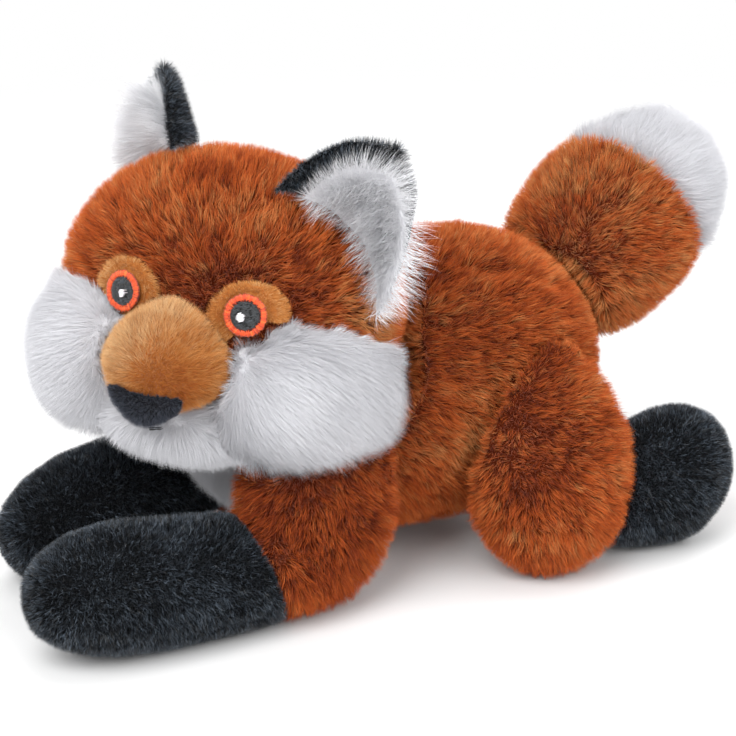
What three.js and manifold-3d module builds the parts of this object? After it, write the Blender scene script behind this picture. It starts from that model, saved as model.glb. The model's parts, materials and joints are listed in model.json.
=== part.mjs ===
// A small plush fox that lies on its forelegs, thighs and hind feet, its head turned to its left.
// Millimetres, +Z up. The fox looks along -Y, its left flank is +X, and the floor is z = 0.
// Each stuffed part is a closed form that swells and tapers along a spine. A smaller part is cut back
// from the larger one that it is sewn to, as far as its seam lets it swing. Fabric panels of another
// colour are pads that lie on, or are let into, the form that they belong to.
import * as THREE from "three";
import { mergeVertices } from "three/addons/utils/BufferGeometryUtils.js";
import Module from "manifold-3d";

const wasm = await Module();
wasm.setup();

// Driving dimensions: seams
const seamGap = 0.35; // left between sewn neighbours
const swingGap = 1.3; // left where a limb or the tail swings against a larger part
const turnGap = 0.9; // left where the head turns on the torso and an ear folds on the head
const flatDepth = 0.5; // what the floor presses flat on each part that stands on it

// Driving dimensions: torso and bib
const torsoLength = 120;
const torsoHalfWidth = 34;
const torsoHalfHeight = 40;
const bellyClearance = 5; // floor to belly
const bibWidth = 50;
const bibHeight = 56;
const bibThickness = 2.4;

// Driving dimensions: head
const headHalfWidth = 44.5;
const headHalfDepth = 34;
const headHalfHeight = 35;
const headAhead = 44; // head centre ahead of the torso's middle
const headRise = 32; // head centre above the torso's middle
const cheekHalfWidth = 17;
const cheekHalfDepth = 27;
const cheekHalfHeight = 20;
const muzzleHalfWidth = 16;
const muzzleHalfHeight = 13;
const muzzleReach = 17; // nose end ahead of the forehead
const chinHalfWidth = 27;
const chinHalfDepth = 18;
const chinHalfHeight = 14;
const noseWidth = 18.5;
const noseHeight = 12.5;
const noseThickness = 6.5;
const mouthWidth = 3.6;
const mouthHeight = 2.4;
const mouthThickness = 1.1;

// Driving dimensions: eyes
const eyeSpacing = 31; // between the eyes' centres
const eyeDiameter = 10.8; // outside of the coloured ring
const pupilDiameter = 6.8;
const highlightDiameter = 2.2;
const threadThickness = 0.9; // of each stitched layer
const patchWidth = 18.2;
const patchHeight = 15.5;
const patchThickness = 1.6;

// Driving dimensions: ears
const earBaseWidth = 38;
const earHeight = 27; // base seam to tip
const earRootDepth = 12; // leaf below the base seam, cut off where the head begins
const earBackThickness = 3.2;
const earLiningThickness = 3;
const earLayerGap = 0.7; // between the two layers, measured towards the open side
const earCup = 11; // how far the rims curl forward
const earLiningShift = 3; // lining's middle nearer the outer rim than the back's

// Driving dimensions: legs
const leftForelegOut = 30; // centre line from the middle of the fox
const rightForelegOut = 26;
const rightForelegBack = 11; // the right foreleg lies this much further back
const rightForelegLift = 26; // its elbow end over the floor, its paw on it
const forelegLength = 93; // elbow to the end of the paw
const forelegHalfWidth = 17;
const forelegHalfHeight = 18.2;
const elbowAhead = 20.5; // back of the elbow ahead of the torso's middle
const pawLength = 66; // black fabric, from its seam to the end of the paw
const shoulderHalfWidth = 15;
const shoulderHalfDepth = 21;
const shoulderHeight = 66; // top of the shoulder's bulge over the floor
const thighHalfWidth = 18;
const thighHalfLength = 23.5;
const thighHeight = 62; // top of the haunch over the floor
const thighBehind = 27; // thigh centre behind the torso's middle
const thighOut = 38; // thigh's foot from the middle of the fox
const thighLean = 14; // its top nearer the middle of the fox than its foot
const footLength = 44;
const footHalfWidth = 16;
const footHalfHeight = 19.5;
const footOut = 35; // foot's centre line from the middle of the fox

// Driving dimensions: tail
const tailLength = 74;
const tailHalfWidth = 24.5;
const tailTipLength = 28; // white end, along the tail

// Angles in degrees
const headTurn = 41; // to the fox's left
const headTilt = 5; // its right side higher
const cheekSlant = 24; // its front end nearer the muzzle
const leftForelegToe = 0; // paw turned in from straight ahead
const rightForelegToe = 8;
const tailRise = 28; // over the level
const tailTurn = 19; // to the fox's right
const pawSeamTilt = 20; // seam's top ahead of its bottom
const neckSwing = 12; // how far each sewn part can be pushed before its seam pulls it back
const tailSwing = 18;
const earSwing = 15;
const legSwing = 7;

// Shapes of the forms, as shares of the sizes above
const evenShares = [1, 1];
const torsoWidthShares = [0.8, 1.0, 0.95, 1.0, 0.86];
const torsoHeightShares = [0.86, 1.0, 0.97, 1.0, 0.84];
const torsoRiseShares = [0, 0.02, 0, 0, -0.08];
const headWidthShares = [1.02, 1, 0.94];
const muzzleShares = [0.86, 0.96, 0.56];
const forelegShares = [0.8, 0.86, 0.84, 0.9, 1.0, 1.0];
const thighWidthShares = [0.96, 1, 0.92, 0.7, 0.5];
const thighLengthShares = [0.92, 1, 1, 0.9, 0.76];
const footShares = [0.82, 0.84, 0.94, 1.0, 0.92];
const tailShares = [0.88, 0.98, 1.02, 1.02, 1.0];
const noseTaperShare = 0.42; // narrower below than above
const muzzleTaperShare = -0.36; // wider below than above

// Exponents: 2 rounds a form's ends like an egg's, and more makes them blunter
const fullnessOf = {
  torso: 2.3, bib: 3, head: 1.9, cheek: 2.4, muzzle: 2.4, nose: 2.4, eye: 4,
  forearm: 2.6, shoulder: 2.2, thigh: 2.3, foot: 2.6, tail: 2.5,
};
const earNarrowing = 2.6; // of the ear's narrowing towards its tip
const earFlare = 0.5; // of the roundness of its tip
const earRimming = 3; // of its thinning towards its rims

// Places on the head, as shares of its half width, depth and height
const cheekPlaceShares = [0.61, -0.54, -0.4];
const chinPlaceShares = [0, -0.76, -0.64];
const muzzleStartShares = [0, -0.66, -0.06];
const muzzleEndShares = [0, -1, -0.36];
const muzzleArchShare = 0.3; // how far the bridge arches, of the muzzle's half height
const nosePlaceShares = [0, 0.2, -0.1]; // from the muzzle's end, of its half sizes and reach
const mouthPlaceShares = [0.04, -1, 0.05]; // from the chin's centre, of its half sizes
const eyePlaceShares = [0.035, -1, 0.18];
const patchPlaceShares = [0, 0, -0.03]; // from the eye, of the patch's width and height
const highlightPlaceShares = [-0.08, 0, 0]; // from the eye, of the pupil's diameter
const leftEarShares = { inner: [0.36, -0.2, 0.95], outer: [1.04, -0.16, 0.38], tip: [0.92, -0.34, 1.19] };
const rightEarShares = { inner: [0.2, -0.05, 0.9], outer: [0.63, 0.55, 0.49], tip: [0.575, 0.25, 1.2] };
const earLiningShare = 0.85; // of the black back's width and height
const rimShare = 0.3; // a layer's thickness at its rim
const leafLeastShare = 0.25; // the leaf's half width at its very tip, of the back's thickness
const eyeDepthShare = 0.6; // how deep the eyes' outlines run into the head, of its half depth

// Places on the torso, as shares of its half width, length and height
const bibPlaceShares = [0, -1, -0.16];
const bibDepthShare = 0.33; // how deep its outline runs into the chest, of the torso's length
const shoulderPlaceShare = 0.86; // shoulder centre, of the torso's half width
const shoulderAheadShare = 0.75; // ahead of the elbow's back, of the shoulder's half depth
const tailRootShares = [0, 0.715, 0.28];
const footStartShare = 0.45; // behind the thigh's centre, of the thigh's half length
const neckHingeShare = 0.3; // behind the head's centre, of its half depth
const forelegHingeShare = 0.62; // of the torso's half width
const thighHingeShare = 0.7;

// Facet counts
const bodyFacets = { rings: 16, sides: 24 };
const limbFacets = { rings: 12, sides: 16 };
const trimFacets = { rings: 8, sides: 14 };
const noseFacets = { rings: 10, sides: 18 };
const eyeFacets = { rings: 6, sides: 20 };
const cutterFacets = { rings: 14, sides: 20 };
const earColumns = 10;
const earRows = 7;
const sweepSteps = 3;

const sideways = new THREE.Vector3(1, 0, 0);
const backwards = new THREE.Vector3(0, 1, 0);
const upwards = new THREE.Vector3(0, 0, 1);
const degrees = Math.PI / 180;
const flanks = [["left", 1], ["right", -1]];

// Colours
const rust = { color: 0x9a4d22, roughness: 0.95, metalness: 0 };
const white = { color: 0xe8e8ea, roughness: 0.95, metalness: 0 };
const black = { color: 0x202326, roughness: 0.8, metalness: 0 };
const tan = { color: 0xc08550, roughness: 0.95, metalness: 0 };
const ringThread = { color: 0xe64b19, roughness: 0.5, metalness: 0 };
const pupilThread = { color: 0x2d3032, roughness: 0.55, metalness: 0 };
const whiteThread = { color: 0xf2f2f0, roughness: 0.5, metalness: 0 };

// Solids
function solidOf(geometry) {
  const bare = geometry.clone();
  for (const name of Object.keys(bare.attributes)) {
    if (name !== "position") bare.deleteAttribute(name);
  }
  const merged = mergeVertices(bare);
  const vertProperties = new Float32Array(merged.attributes.position.array);
  const triVerts = new Uint32Array(merged.index.array);
  return new wasm.Manifold(new wasm.Mesh({ numProp: 3, vertProperties, triVerts }));
}

function geometryOf(solid) {
  const mesh = solid.getMesh();
  const geometry = new THREE.BufferGeometry();
  const position = new Float32Array(mesh.vertProperties);
  geometry.setAttribute("position", new THREE.BufferAttribute(position, 3));
  geometry.setIndex(new THREE.BufferAttribute(new Uint32Array(mesh.triVerts), 1));
  geometry.computeVertexNormals();
  return geometry;
}

// The largest piece of a cut solid, without the slivers that a cut can leave
function wholeOf(solid) {
  return solid.decompose().reduce((most, piece) => (piece.volume() > most.volume() ? piece : most));
}

function addMesh(group, name, solid, look) {
  const mesh = new THREE.Mesh(geometryOf(wholeOf(solid)), new THREE.MeshStandardMaterial(look));
  mesh.name = name;
  group.add(mesh);
}

// Soft forms
function smoothShare(shares, u) {
  const points = shares.map((share, i) => new THREE.Vector3(i / (shares.length - 1), share, 0));
  return new THREE.CatmullRomCurve3(points).getPoint(u).y;
}

// Triangles over rings of points between two end points
function closedRings(rings, sides) {
  const index = [];
  const last = 1 + (rings - 1) * sides;
  for (let j = 0; j < sides; j++) {
    const next = (j + 1) % sides;
    index.push(0, 1 + next, 1 + j);
    for (let i = 0; i < rings - 2; i++) {
      const a = 1 + i * sides;
      const b = a + sides;
      index.push(a + j, a + next, b + next, a + j, b + next, b + j);
    }
    const end = last - sides;
    index.push(end + j, end + next, last);
  }
  return index;
}

// A closed form round a spine. Its half width and half height follow tables of shares, its ends are
// round, and a higher fullness makes them blunter. grow makes it larger all round, and taper narrows
// it below when the spine runs backwards.
function softForm(spine, halfWidth, halfHeight, options) {
  const { widthShares = evenShares, heightShares = widthShares, fullness = 2, grow = 0, taper = 0 } = options;
  const { rings, sides } = options.facets;
  const curve = new THREE.CatmullRomCurve3(spine, false, "centripetal");
  const middle = (u) => curve.getPointAt(u).addScaledVector(curve.getTangentAt(u), (2 * u - 1) * grow);
  const positions = [...middle(0).toArray()];
  for (let i = 1; i < rings; i++) {
    const u = (1 - Math.cos((Math.PI * i) / rings)) / 2;
    const round = (1 - Math.abs(2 * u - 1) ** fullness) ** (1 / fullness);
    const tangent = curve.getTangentAt(u);
    const side = sideways.clone().addScaledVector(tangent, -sideways.dot(tangent)).normalize();
    const down = tangent.clone().cross(side);
    const wide = round * (halfWidth * smoothShare(widthShares, u) + grow);
    const tall = round * (halfHeight * smoothShare(heightShares, u) + grow);
    for (let j = 0; j < sides; j++) {
      const angle = (2 * Math.PI * j) / sides;
      const width = wide * Math.cos(angle) * (1 - taper * Math.sin(angle));
      const point = middle(u).addScaledVector(side, width).addScaledVector(down, tall * Math.sin(angle));
      positions.push(...point.toArray());
    }
  }
  positions.push(...middle(1).toArray());
  const geometry = new THREE.BufferGeometry();
  geometry.setAttribute("position", new THREE.Float32BufferAttribute(positions, 3));
  geometry.setIndex(closedRings(rings, sides));
  return geometry;
}

// An egg whose spine lies along Y
function egg(centre, halfX, halfY, halfZ, options) {
  const spine = [-1, 0, 1].map((end) => centre.clone().addScaledVector(backwards, end * halfY));
  return softForm(spine, halfX, halfZ, options);
}

function placeBy(shares, x, y, z) {
  return new THREE.Vector3(x * shares[0], y * shares[1], z * shares[2]);
}

function mirrored(place, side) {
  return new THREE.Vector3(side * place.x, place.y, place.z);
}

// Cutting tools
const reach = 2 * (torsoLength + headHalfWidth + forelegLength); // larger than the whole fox

// Everything beyond a plane through a point
function halfSpace(point, direction) {
  const box = new THREE.BoxGeometry(reach, reach, reach);
  box.translate(0, 0, reach / 2);
  box.applyQuaternion(new THREE.Quaternion().setFromUnitVectors(upwards, direction));
  box.translate(point.x, point.y, point.z);
  return solidOf(box);
}

const underfloor = halfSpace(new THREE.Vector3(), upwards.clone().negate());

// A form let down until the floor flattens it by flatDepth, with what is under the floor cut off
function onFloor(form, grow, facets) {
  const plain = form(0, limbFacets);
  plain.computeBoundingBox();
  const down = -flatDepth - plain.boundingBox.min.z;
  return solidOf(form(grow, facets).translate(0, 0, down)).subtract(underfloor);
}

function turnAbout(hinge, angle) {
  const { x, y, z } = hinge.point;
  const matrix = new THREE.Matrix4().makeTranslation(x, y, z);
  matrix.multiply(new THREE.Matrix4().makeRotationAxis(hinge.axis, angle * degrees));
  return matrix.multiply(new THREE.Matrix4().makeTranslation(-x, -y, -z));
}

// What a solid passes through when it turns about a hinge to both sides
function sweptBy(solid, hinge, swing) {
  let all = solid;
  for (let i = 0; i < sweepSteps; i++) {
    const angle = swing * ((2 * i) / (sweepSteps - 1) - 1);
    all = all.add(solid.transform(turnAbout(hinge, angle).elements));
  }
  return all;
}

// Torso
const torsoMiddle = new THREE.Vector3(0, 0, bellyClearance + torsoHalfHeight);

function onTorso(shares) {
  return placeBy(shares, torsoHalfWidth, torsoLength / 2, torsoHalfHeight).add(torsoMiddle);
}

function torsoForm(grow, facets = bodyFacets) {
  const spine = torsoRiseShares.map((share, i) => (
    onTorso([0, (2 * i) / (torsoRiseShares.length - 1) - 1, share])));
  return solidOf(softForm(spine, torsoHalfWidth, torsoHalfHeight,
    { widthShares: torsoWidthShares, heightShares: torsoHeightShares, fullness: fullnessOf.torso,
      grow, facets }));
}

// The bib's outline, as a column that runs into the chest
function bibColumn(grow) {
  return solidOf(egg(onTorso(bibPlaceShares), bibWidth / 2, torsoLength * bibDepthShare, bibHeight / 2,
    { fullness: fullnessOf.bib, grow, facets: trimFacets }));
}

// Head, in its own frame with the middle of the skull as the origin
function onHead(shares) {
  return placeBy(shares, headHalfWidth, headHalfDepth, headHalfHeight);
}

function headForm(grow, facets = bodyFacets) {
  return solidOf(egg(new THREE.Vector3(), headHalfWidth, headHalfDepth, headHalfHeight,
    { widthShares: headWidthShares, heightShares: evenShares, fullness: fullnessOf.head,
      grow, facets }));
}

function cheekForm(side, grow) {
  const along = new THREE.Vector3(Math.sin(cheekSlant * degrees), Math.cos(cheekSlant * degrees), 0);
  const spine = [-1, 0, 1].map((end) => mirrored(
    onHead(cheekPlaceShares).addScaledVector(along, end * cheekHalfDepth), side));
  return solidOf(softForm(spine, cheekHalfWidth, cheekHalfHeight,
    { fullness: fullnessOf.cheek, grow, facets: limbFacets }));
}

function chinForm(grow) {
  return solidOf(egg(onHead(chinPlaceShares), chinHalfWidth, chinHalfDepth, chinHalfHeight,
    { grow, facets: limbFacets }));
}

// A column through an eye's place that runs into the head
function outlineColumn(centre, width, height) {
  return solidOf(egg(centre, width / 2, headHalfDepth * eyeDepthShare, height / 2,
    { fullness: fullnessOf.eye, facets: eyeFacets }));
}

function eyePlace(side) {
  return onHead(eyePlaceShares).addScaledVector(sideways, side * (eyeSpacing / 2));
}

function eyeColumn(side, diameter) {
  return outlineColumn(eyePlace(side), diameter, diameter);
}

const muzzleStart = onHead(muzzleStartShares);
const muzzleEnd = onHead(muzzleEndShares).addScaledVector(backwards, -muzzleReach);

function muzzleForm(grow) {
  const arch = muzzleStart.clone().lerp(muzzleEnd, 0.5);
  arch.addScaledVector(upwards, muzzleHalfHeight * muzzleArchShare);
  return solidOf(softForm([muzzleEnd, arch, muzzleStart], muzzleHalfWidth, muzzleHalfHeight,
    { widthShares: muzzleShares, fullness: fullnessOf.muzzle, taper: muzzleTaperShare,
      grow, facets: limbFacets }));
}

const headPlace = new THREE.Matrix4().makeTranslation(
  torsoMiddle.x, torsoMiddle.y - headAhead, torsoMiddle.z + headRise);
headPlace.multiply(new THREE.Matrix4().makeRotationZ(headTurn * degrees));
headPlace.multiply(new THREE.Matrix4().makeRotationY(headTilt * degrees));
const neckHinge = { point: onHead([0, neckHingeShare, 0]).applyMatrix4(headPlace), axis: upwards };
const headCutter = headForm(turnGap, cutterFacets).add(cheekForm(1, turnGap))
  .add(cheekForm(-1, turnGap)).add(chinForm(turnGap)).transform(headPlace.elements);
const headSwept = sweptBy(headCutter, neckHinge, neckSwing);
const torsoCutter = torsoForm(swingGap, cutterFacets);

const fox = new THREE.Group();
const bib = torsoForm(0).intersect(bibColumn(0)).subtract(torsoForm(-bibThickness));
const bibBed = bibColumn(seamGap).subtract(torsoForm(-bibThickness - seamGap));
addMesh(fox, "torso", torsoForm(0).subtract(headSwept).subtract(bibBed), rust);
addMesh(fox, "chest_bib", bib.subtract(headSwept), white);

// Forelegs: shoulder and forearm are one rust sleeve, and the paw is black
const elbowBack = torsoMiddle.y - elbowAhead;

function foreleg(side, out, back, toe, lift) {
  const elbow = new THREE.Vector3(side * out, elbowBack + back, 0);
  const forearm = (grow, facets) => {
    const spine = forelegShares.map((share, i) => {
      const ahead = i / (forelegShares.length - 1);
      return elbow.clone().add(new THREE.Vector3(
        0, -forelegLength * ahead, forelegHalfHeight * share + lift * (1 - ahead)));
    });
    return softForm(spine, forelegHalfWidth, forelegHalfHeight,
      { widthShares: forelegShares, fullness: fullnessOf.forearm, grow, facets });
  };
  const shoulder = (grow, facets) => {
    const centre = new THREE.Vector3(side * torsoHalfWidth * shoulderPlaceShare,
      elbow.y - shoulderHalfDepth * shoulderAheadShare, shoulderHeight / 2);
    return egg(centre, shoulderHalfWidth, shoulderHalfDepth, shoulderHeight / 2,
      { fullness: fullnessOf.shoulder, grow, facets });
  };
  const hinge = {
    point: new THREE.Vector3(side * torsoHalfWidth * forelegHingeShare,
      elbow.y - shoulderHalfDepth * shoulderAheadShare, torsoMiddle.z),
    axis: upwards,
  };
  const seam = new THREE.Vector3(0, elbow.y - (forelegLength - pawLength), 0);
  const ahead = new THREE.Vector3(
    0, -Math.cos(pawSeamTilt * degrees), -Math.sin(pawSeamTilt * degrees));
  const rustSide = halfSpace(seam.clone().addScaledVector(ahead, -seamGap), ahead.clone().negate());
  const blackSide = halfSpace(seam, ahead);
  const larger = sweptBy(torsoCutter, hinge, legSwing).add(sweptBy(headSwept, hinge, legSwing));
  const forearmSolid = onFloor(forearm, 0, limbFacets);
  const sleeve = forearmSolid.add(onFloor(shoulder, 0, limbFacets)).intersect(rustSide);
  const toed = turnAbout(hinge, -side * toe).elements;
  return {
    hinge,
    upper: sleeve.transform(toed).subtract(larger),
    paw: forearmSolid.intersect(blackSide).transform(toed).subtract(larger),
  };
}

// Hind legs: a rust thigh and a black foot that points backwards
function hindleg(side) {
  const centre = new THREE.Vector3(side * thighOut, torsoMiddle.y + thighBehind, thighHeight / 2);
  const thigh = (grow, facets) => {
    const spine = thighWidthShares.map((share, i) => {
      const rise = i / (thighWidthShares.length - 1);
      return new THREE.Vector3(side * (thighOut - thighLean * rise ** 2), centre.y, thighHeight * rise);
    });
    return softForm(spine, thighHalfWidth, thighHalfLength,
      { widthShares: thighWidthShares, heightShares: thighLengthShares, fullness: fullnessOf.thigh,
        grow, facets });
  };
  const foot = (grow, facets) => {
    const start = centre.y + thighHalfLength * footStartShare;
    const spine = footShares.map((share, i) => new THREE.Vector3(
      side * footOut, start + (footLength * i) / (footShares.length - 1), footHalfHeight * share));
    return softForm(spine, footHalfWidth, footHalfHeight,
      { widthShares: footShares, fullness: fullnessOf.foot, grow, facets });
  };
  const hinge = {
    point: new THREE.Vector3(side * torsoHalfWidth * thighHingeShare, centre.y, torsoMiddle.z),
    axis: upwards,
  };
  const larger = sweptBy(torsoCutter, hinge, legSwing);
  return {
    hinge,
    thigh: onFloor(thigh, 0, limbFacets).subtract(larger),
    foot: onFloor(foot, 0, limbFacets).subtract(onFloor(thigh, seamGap, limbFacets)).subtract(larger),
  };
}

const forelegs = [
  foreleg(1, leftForelegOut, 0, leftForelegToe, 0),
  foreleg(-1, rightForelegOut, rightForelegBack, rightForelegToe, rightForelegLift),
];
const hindlegs = flanks.map(([, side]) => hindleg(side));
flanks.forEach(([word], i) => {
  addMesh(fox, `front_upper_leg_${word}`, forelegs[i].upper, rust);
  addMesh(fox, `front_paw_${word}`, forelegs[i].paw, black);
  addMesh(fox, `thigh_${word}`, hindlegs[i].thigh, rust);
  addMesh(fox, `hind_foot_${word}`, hindlegs[i].foot, black);
});

// Tail with its white tip
const tailRoot = onTorso(tailRootShares);
const tailAlong = backwards.clone().applyAxisAngle(sideways, tailRise * degrees)
  .applyAxisAngle(upwards, tailTurn * degrees);
const tailHinge = { point: tailRoot, axis: upwards };
const tailSpine = [0, 0.5, 1].map((share) => (
  tailRoot.clone().addScaledVector(tailAlong, tailLength * share)));
const tail = solidOf(softForm(tailSpine, tailHalfWidth, tailHalfWidth,
  { widthShares: tailShares, fullness: fullnessOf.tail, facets: limbFacets }))
  .subtract(sweptBy(torsoCutter, tailHinge, tailSwing));
const tipSeam = tailRoot.clone().addScaledVector(tailAlong, tailLength - tailTipLength);
const rustEnd = tipSeam.clone().addScaledVector(tailAlong, -seamGap);
addMesh(fox, "tail", tail.intersect(halfSpace(rustEnd, tailAlong.clone().negate())), rust);
addMesh(fox, "tail_tip", tail.intersect(halfSpace(tipSeam, tailAlong)), white);

// Head group: skull, muzzle, cheeks and chin
const headGroup = new THREE.Group();
headGroup.applyMatrix4(headPlace);
fox.add(headGroup);
const skullBed = headForm(seamGap);
const muzzleBed = muzzleForm(seamGap).add(skullBed);
const cheekBed = muzzleBed.add(cheekForm(1, seamGap)).add(cheekForm(-1, seamGap));
addMesh(headGroup, "head", headForm(0), rust);
addMesh(headGroup, "muzzle", muzzleForm(0).subtract(skullBed), tan);
for (const [word, side] of flanks) {
  const cheek = cheekForm(side, 0).subtract(muzzleBed).subtract(eyeColumn(side, eyeDiameter + 2 * seamGap));
  addMesh(headGroup, `cheek_${word}`, cheek, white);
}
addMesh(headGroup, "chin", chinForm(0).subtract(cheekBed), white);

// Nose and mouth
const noseCentre = placeBy(nosePlaceShares, muzzleHalfWidth, muzzleReach, muzzleHalfHeight).add(muzzleEnd);
const nose = solidOf(egg(noseCentre, noseWidth / 2, noseThickness, noseHeight / 2,
  { fullness: fullnessOf.nose, taper: noseTaperShare, facets: noseFacets }));
addMesh(headGroup, "nose", nose.subtract(muzzleForm(seamGap)).subtract(chinForm(seamGap)), black);
const mouthCentre = placeBy(mouthPlaceShares, chinHalfWidth, chinHalfDepth, chinHalfHeight)
  .add(onHead(chinPlaceShares));
const mouth = solidOf(egg(mouthCentre, mouthWidth / 2, chinHalfDepth / 2, mouthHeight / 2,
  { facets: trimFacets }));
addMesh(headGroup, "mouth_stitch", mouth.intersect(chinForm(seamGap + mouthThickness))
  .subtract(chinForm(seamGap)).subtract(muzzleForm(seamGap)), black);

// Eyes: patch, ring, pupil and highlight lie on the head, one over the other
function layer(from, thickness) {
  return headForm(from + thickness).subtract(headForm(from));
}

const threadFrom = seamGap + patchThickness + seamGap;
const highlightFrom = threadFrom + threadThickness + seamGap;
const patchLayer = layer(seamGap, patchThickness).subtract(muzzleForm(seamGap));
const threadLayer = layer(threadFrom, threadThickness).subtract(muzzleForm(seamGap));
const highlightLayer = layer(highlightFrom, threadThickness);
for (const [word, side] of flanks) {
  const patchPlace = mirrored(placeBy(patchPlaceShares, patchWidth, 0, patchHeight), side);
  const patch = outlineColumn(patchPlace.add(eyePlace(side)), patchWidth, patchHeight);
  const highlightPlace = mirrored(placeBy(highlightPlaceShares, pupilDiameter, 0, pupilDiameter), side);
  const highlight = outlineColumn(highlightPlace.add(eyePlace(side)), highlightDiameter, highlightDiameter);
  const ring = eyeColumn(side, eyeDiameter).subtract(eyeColumn(side, pupilDiameter + 2 * seamGap));
  addMesh(headGroup, `eye_patch_${word}`, patchLayer.intersect(patch)
    .subtract(cheekForm(side, seamGap)), tan);
  addMesh(headGroup, `eye_ring_${word}`, threadLayer.intersect(ring), ringThread);
  addMesh(headGroup, `pupil_${word}`, threadLayer.intersect(eyeColumn(side, pupilDiameter)), pupilThread);
  addMesh(headGroup, `eye_highlight_${word}`, highlightLayer.intersect(highlight), whiteThread);
}

// Ears: a cupped leaf of two layers that stands on its base seam. A leaf has its base seam's middle,
// and the ways along the seam, up to the tip and towards its open side.
function earLeaf(shares) {
  const inner = onHead(shares.inner);
  const outer = onHead(shares.outer);
  const middle = inner.clone().lerp(outer, 0.5);
  const along = outer.clone().sub(inner).normalize();
  const up = onHead(shares.tip).sub(middle).normalize();
  const forward = up.clone().cross(along).normalize();
  return { middle, along, up, forward: forward.multiplyScalar(Math.sign(-forward.y)) };
}

// A point of a left leaf: u runs from -1 to 1 across, v from 0 at the root to 1 at the tip. The two
// layers meet at from, and a layer's thickness dies away towards its rims.
function leafPoint(leaf, u, v, share, shift, from, thickness) {
  const width = (earBaseWidth / 2) * share * Math.max(1 - v ** earNarrowing, 0) ** earFlare;
  const half = Math.max(width, earBackThickness * leafLeastShare);
  const across = u * half + shift;
  const curl = earCup * (across / (earBaseWidth / 2)) ** 2;
  const thin = rimShare + (1 - rimShare) * Math.sqrt(1 - Math.abs(u) ** earRimming);
  return leaf.middle.clone()
    .addScaledVector(leaf.along, across)
    .addScaledVector(leaf.up, v * (earHeight * share + earRootDepth) - earRootDepth)
    .addScaledVector(leaf.forward, curl + from + thickness * thin);
}

function earLayer(leaf, side, share, shift, from, thickness) {
  const positions = [];
  for (let row = 0; row <= earRows; row++) {
    const v = row / earRows;
    const ring = [];
    for (let column = 0; column <= earColumns; column++) {
      const u = (2 * column) / earColumns - 1;
      ring.push(leafPoint(leaf, u, v, share, shift, from, Math.max(thickness, 0)));
      ring.unshift(leafPoint(leaf, u, v, share, shift, from, Math.min(thickness, 0)));
    }
    if (row === 0 || row === earRows) {
      const centre = ring.reduce((sum, point) => sum.add(point), new THREE.Vector3());
      ring.push(centre.divideScalar(ring.length));
    }
    if (row === 0) ring.unshift(ring.pop());
    positions.push(...ring.flatMap((point) => mirrored(point, side).toArray()));
  }
  const geometry = new THREE.BufferGeometry();
  geometry.setAttribute("position", new THREE.Float32BufferAttribute(positions, 3));
  const index = closedRings(earRows + 2, 2 * (earColumns + 1));
  geometry.setIndex(side > 0 ? index : index.reverse());
  return solidOf(geometry);
}

const earLeaves = [earLeaf(leftEarShares), earLeaf(rightEarShares)];
flanks.forEach(([word, side], i) => {
  const leaf = earLeaves[i];
  const hinge = { point: mirrored(leaf.middle, side), axis: mirrored(leaf.along, side) };
  const larger = headForm(turnGap, cutterFacets).add(cheekForm(side, turnGap));
  const bed = sweptBy(larger, hinge, earSwing);
  const back = earLayer(leaf, side, 1, 0, -earLayerGap / 2, -earBackThickness);
  const lining = earLayer(leaf, side, earLiningShare, earLiningShift, earLayerGap / 2,
    earLiningThickness);
  addMesh(headGroup, `ear_back_${word}`, back.subtract(bed), black);
  addMesh(headGroup, `ear_lining_${word}`, lining.subtract(bed), white);
});

// The origin is the middle of the fox's footprint, on the floor
const box = new THREE.Box3().setFromObject(fox, true);
const footprint = box.getCenter(new THREE.Vector3());
fox.position.set(-footprint.x, -footprint.y, -box.min.z);

export default fox;
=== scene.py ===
import json
import math

import bmesh
import bpy
import numpy as np
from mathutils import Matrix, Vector, noise
from mathutils.bvhtree import BVHTree
from mathutils.kdtree import KDTree


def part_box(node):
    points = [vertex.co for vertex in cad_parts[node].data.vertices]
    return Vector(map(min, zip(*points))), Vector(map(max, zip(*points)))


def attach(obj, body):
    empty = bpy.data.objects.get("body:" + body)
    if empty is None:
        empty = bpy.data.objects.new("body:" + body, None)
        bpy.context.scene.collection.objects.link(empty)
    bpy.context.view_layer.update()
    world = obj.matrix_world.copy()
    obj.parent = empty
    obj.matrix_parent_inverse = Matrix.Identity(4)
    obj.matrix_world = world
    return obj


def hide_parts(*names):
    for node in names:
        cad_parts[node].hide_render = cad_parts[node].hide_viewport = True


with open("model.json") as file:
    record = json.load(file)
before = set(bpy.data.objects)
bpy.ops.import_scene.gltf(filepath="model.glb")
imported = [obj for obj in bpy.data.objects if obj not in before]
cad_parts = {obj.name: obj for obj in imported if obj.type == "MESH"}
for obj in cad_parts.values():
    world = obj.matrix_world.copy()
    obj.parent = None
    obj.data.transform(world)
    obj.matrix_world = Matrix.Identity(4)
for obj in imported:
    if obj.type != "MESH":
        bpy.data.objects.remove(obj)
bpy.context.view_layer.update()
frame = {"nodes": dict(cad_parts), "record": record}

MM = 0.001
nodes = frame["nodes"]
UP = np.array([0.0, 0.0, 1.0])

# Camera, in degrees and millimetres
CAMERA_AZIMUTH = 62
CAMERA_ELEVATION = 20
CAMERA_LENS = 116
CAMERA_SENSOR = 36
CAMERA_DISTANCE = 640
CAMERA_TARGET = (-21.65, 7.29, 40.0)

# Studio, in metres and watts: where each lamp stands, how wide it is and its power
LAMPS = {
    "key": ((0.45, -0.75, 0.9), 0.9, 12),
    "fill": ((0.9, 0.15, 0.5), 0.9, 5.2),
    "top": ((-0.1, 0.1, 1.2), 1.0, 5),
    "back": ((-0.6, 0.9, 0.5), 0.9, 5.5),
}
SKY_STRENGTH = 0.42
FLOOR_SIZE = 6.0
FLOOR_FADE = (0.28, 0.55)  # the floor turns plain white between these distances from the toy

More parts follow.
